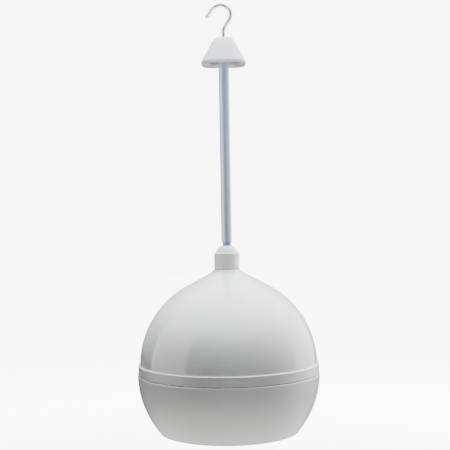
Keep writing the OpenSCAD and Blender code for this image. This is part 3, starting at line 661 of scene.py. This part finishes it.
def make_floor():
    """A pale floor below the hanging unit. It fades into the backdrop, throws light up close to
    the object only, and is clear from underneath, so that it never hides the base."""
    bm = bmesh.new()
    bmesh.ops.create_grid(bm, x_segments=8, y_segments=8, size=6)
    floor = mesh_object("floor", bm)
    material = surface("floor_white", (0.93, 0.93, 0.93), 0.8, tint=0.005)
    tree = material.node_tree
    pale = tree.nodes["Principled BSDF"]
    pale.inputs["Emission Color"].default_value = (1, 1, 1, 1)
    tree.links.new(radial(tree, 0.1, 1.2, 3.5, 8), pale.inputs["Emission Strength"])
    bounce = tree.nodes.new("ShaderNodeEmission")
    bounce.inputs["Color"].default_value = (1, 0.985, 0.95, 1)
    tree.links.new(radial(tree, 0.1, 0.6, 2.1, 0.05), bounce.inputs["Strength"])
    path = tree.nodes.new("ShaderNodeLightPath")
    mix = tree.nodes.new("ShaderNodeMixShader")
    tree.links.new(path.outputs["Is Camera Ray"], mix.inputs["Fac"])
    tree.links.new(bounce.outputs["Emission"], mix.inputs[1])
    tree.links.new(pale.outputs["BSDF"], mix.inputs[2])
    side = tree.nodes.new("ShaderNodeNewGeometry")
    clear = tree.nodes.new("ShaderNodeBsdfTransparent")
    one_way = tree.nodes.new("ShaderNodeMixShader")
    tree.links.new(side.outputs["Backfacing"], one_way.inputs["Fac"])
    tree.links.new(mix.outputs["Shader"], one_way.inputs[1])
    tree.links.new(clear.outputs["BSDF"], one_way.inputs[2])
    tree.links.new(one_way.outputs["Shader"], tree.nodes["Material Output"].inputs["Surface"])
    floor.location.z = -FLOOR_DROP
    floor.data.materials.append(material)


def area_light(name, place, target, size, power, colour=(1, 1, 1)):
    light = bpy.data.lights.new(name, "AREA")
    light.shape = "RECTANGLE"
    light.size, light.size_y = size
    light.energy = power
    light.color = colour
    obj = bpy.data.objects.new(name, light)
    bpy.context.collection.objects.link(obj)
    obj.location = place
    obj.rotation_euler = (Vector(target) - Vector(place)).to_track_quat("-Z", "Y").to_euler()
    return obj


def make_world():
    """Plain white behind the object; round it a dim studio, darker on the left, with a
    lighter belt at eye level that shows in the metal and a soft glow overhead in the gloss."""
    world = bpy.data.worlds.new("studio")
    bpy.context.scene.world = world
    world.use_nodes = True
    tree = world.node_tree
    backdrop = tree.nodes["Background"]
    backdrop.inputs["Color"].default_value = (1, 1, 1, 1)
    backdrop.inputs["Strength"].default_value = 8
    place = tree.nodes.new("ShaderNodeTexCoord")
    axes = tree.nodes.new("ShaderNodeSeparateXYZ")
    tree.links.new(place.outputs["Generated"], axes.inputs["Vector"])
    level = tree.nodes.new("ShaderNodeMath")
    level.operation = "ABSOLUTE"
    tree.links.new(axes.outputs["Z"], level.inputs[0])
    side = map_range(tree, axes.outputs["X"], (-1, 1, 0.05, 0.24), smooth=False)
    belt = map_range(tree, level.outputs["Value"], (0.08, 0.3, 4, 1))
    glow = map_range(tree, axes.outputs["Z"], (0.42, 0.95, 0, 9))
    strength = tree.nodes.new("ShaderNodeMath")
    strength.operation = "MULTIPLY"
    tree.links.new(side, strength.inputs[0])
    tree.links.new(belt, strength.inputs[1])
    seen = tree.nodes.new("ShaderNodeLightPath")
    total = tree.nodes.new("ShaderNodeMath")
    total.operation = "MULTIPLY_ADD"
    tree.links.new(glow, total.inputs[0])
    tree.links.new(seen.outputs["Is Glossy Ray"], total.inputs[1])
    tree.links.new(strength.outputs["Value"], total.inputs[2])
    surround = tree.nodes.new("ShaderNodeBackground")
    surround.inputs["Color"].default_value = (0.95, 0.97, 1, 1)
    tree.links.new(total.outputs["Value"], surround.inputs["Strength"])
    mix = tree.nodes.new("ShaderNodeMixShader")
    tree.links.new(seen.outputs["Is Camera Ray"], mix.inputs["Fac"])
    tree.links.new(surround.outputs["Background"], mix.inputs[1])
    tree.links.new(backdrop.outputs["Background"], mix.inputs[2])
    tree.links.new(mix.outputs["Shader"], tree.nodes["World Output"].inputs["Surface"])


def make_camera():
    """Level with the lower end of the tube, with a long lens and a slight roll."""
    camera = bpy.data.cameras.new("camera")
    camera.lens = 77.6
    camera.sensor_width = 36
    obj = bpy.data.objects.new("camera", camera)
    bpy.context.collection.objects.link(obj)
    height = 256 * MM
    distance = 1.164
    aim = Vector((-1.6 * MM, 0, 246.6 * MM))
    obj.location = (aim.x, -distance, height)
    look = (aim - obj.location).to_track_quat("-Z", "Y")
    roll = Matrix.Rotation(math.radians(-0.95), 4, "Z")
    obj.rotation_euler = (look.to_matrix().to_4x4() @ roll).to_euler()
    bpy.context.scene.camera = obj


make_floor()
make_world()
for light in (
        area_light("overhead", (0.1, 0.2, 1.7), (0, 0, 0.2), (1.0, 1.0), 126, (0.96, 0.98, 1)),
        area_light("right", (1.3, 0.6, 0.25), (0, 0, 0.15), (0.6, 1.5), 44),
        area_light("left", (-1.3, 0.3, 0.4), (0, 0, 0.2), (0.3, 1.5), 3)):
    light.visible_glossy = False        # the glow and the cards stand in for them in the gloss
for name, place, size, power in (("left_card", (-1.3, -0.15, 0.6), (1.5, 1.5), 28),
                                 ("right_card", (1.2, 0.6, 0.6), (1.3, 1.5), 25)):
    card = area_light(name, place, (0, 0, place[2]), size, power)
    card.visible_diffuse = False        # pale cards that show only in the gloss
for name, x, power in (("hanger_left", -0.5, 0.2), ("hanger_right", 0.5, 0.2)):
    fill = area_light(name, (x, -0.55, 0.2), (0, 0, 0.46), (0.25, 0.25), power)
    fill.data.spread = math.radians(36)     # a narrow beam that passes over the ball
make_camera()
